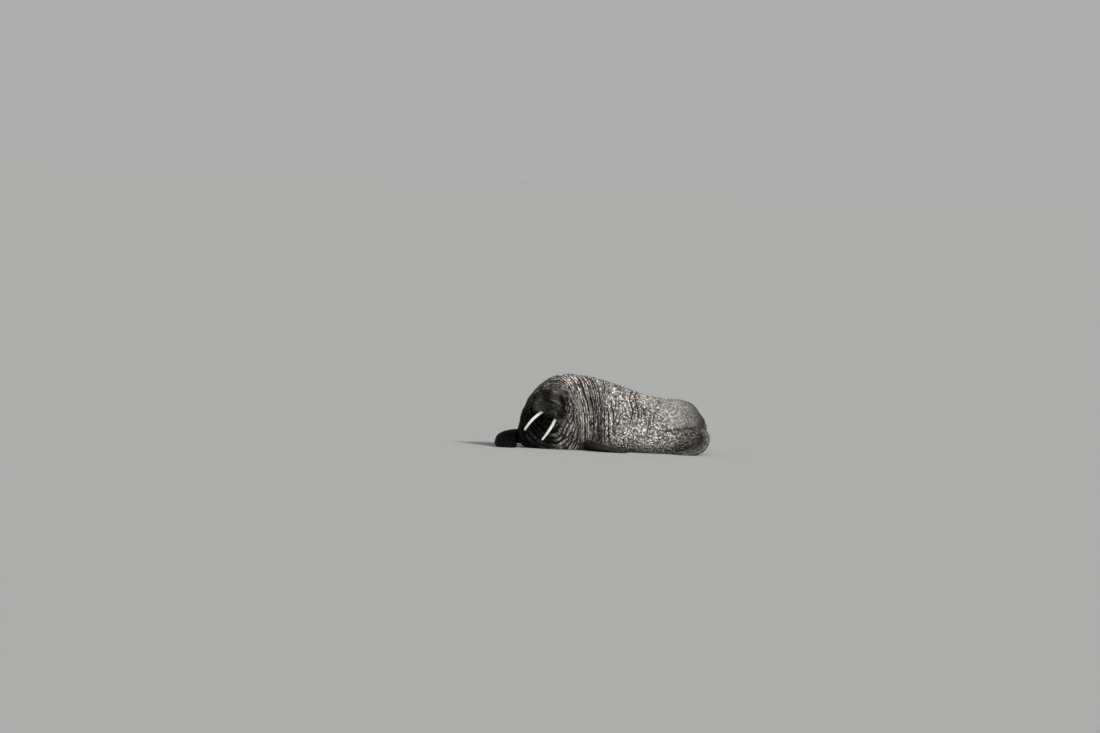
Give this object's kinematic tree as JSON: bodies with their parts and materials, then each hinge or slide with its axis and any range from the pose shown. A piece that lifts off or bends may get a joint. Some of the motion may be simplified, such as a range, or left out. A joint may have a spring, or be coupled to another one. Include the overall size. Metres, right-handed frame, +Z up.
{
  "type": "walrus model",
  "caption": "Life-size still walrus lying on its belly, neck drawn in and head turned, with tusks, whisker pads and flippers.",
  "frame": {"origin": "middle of the underside, on the floor the walrus lies on", "axes": "+X from the head end to the rump, +Z up, and the face looks towards -Y"},
  "size_m": [2.6824, 1.4126, 0.9409],
  "materials": {
    "hide": "matt, wrinkled, nearly bare",
    "dark_hide": "matt, bare and slightly damp",
    "pad_hide": "matt, dotted by whisker roots",
    "ivory": "smooth, satin",
    "eye": "wet gloss"
  },
  "bodies": {
    "root": {"rump": "hide", "belly": "hide", "chest": "hide", "neck": "hide", "head": "hide", "lower_jaw": "hide", "tail": "hide", "whisker_pad_right": "pad_hide", "whisker_pad_left": "pad_hide", "tusk_right": "ivory", "tusk_left": "ivory", "eye_right": "eye", "eye_left": "eye", "fore_flipper_right": "dark_hide", "fore_flipper_left": "dark_hide", "hind_flipper_right": "dark_hide", "hind_flipper_left": "dark_hide"}
  },
  "joints": []
}
